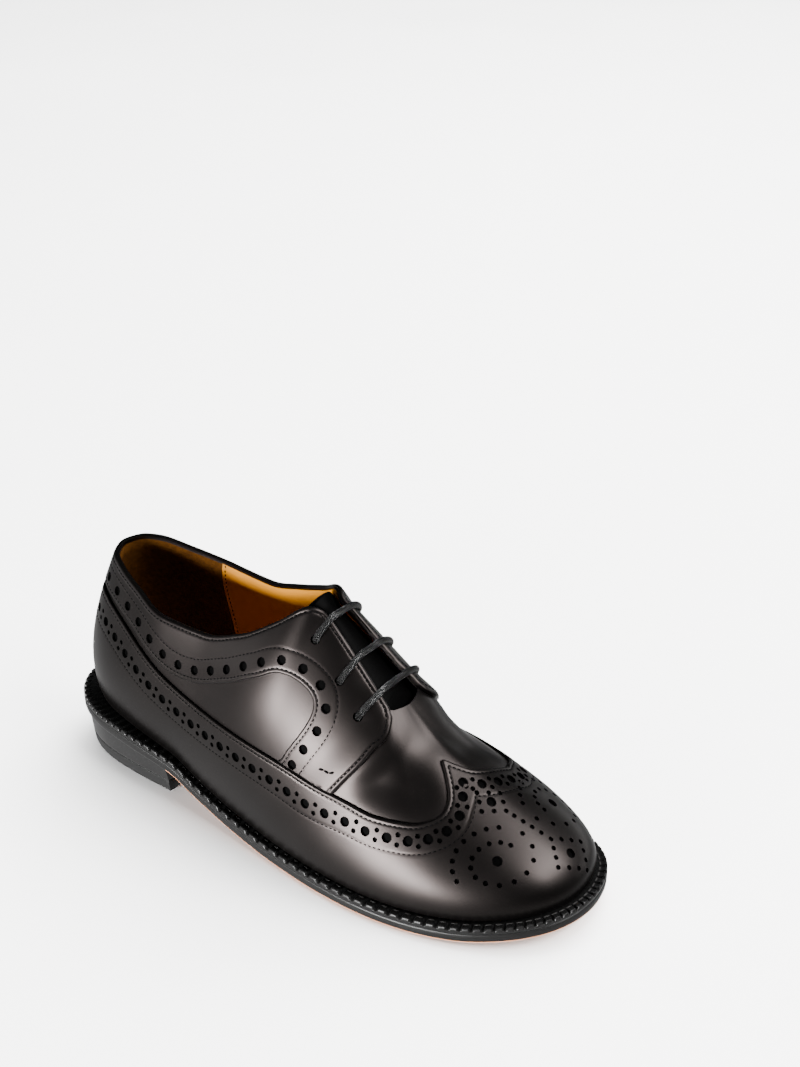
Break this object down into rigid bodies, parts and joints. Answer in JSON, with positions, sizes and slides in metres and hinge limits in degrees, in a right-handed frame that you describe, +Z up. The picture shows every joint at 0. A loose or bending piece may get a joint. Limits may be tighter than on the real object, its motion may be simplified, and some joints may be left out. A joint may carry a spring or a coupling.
{
  "type": "derby shoe",
  "caption": "Black leather derby shoe for the right foot with a long wing tip, perforated seams, open lacing, a ridged welt and a low stacked heel.",
  "frame": {"origin": "on the floor, under the middle of the outsole's plan box", "axes": "+X from heel to toe, +Y to the inner (big toe) side, +Z up"},
  "size_m": [0.2594, 0.0908, 0.1069],
  "materials": {
    "upper_leather": "semi-gloss black calf leather",
    "insole_leather": "matt tan leather",
    "sole_edge": "black dressed leather edge",
    "heel_rubber": "matt black",
    "lace": "waxed cord"
  },
  "bodies": {
    "root": {"upper": "upper_leather", "wing_tip": "upper_leather", "facing": "upper_leather", "tongue": "upper_leather", "insole": "insole_leather", "welt": "sole_edge", "outsole": "sole_edge", "heel_stack": "sole_edge", "heel_top_piece": "heel_rubber", "lace_bar_top": "lace", "lace_bar_middle": "lace", "lace_bar_bottom": "lace"}
  },
  "joints": []
}
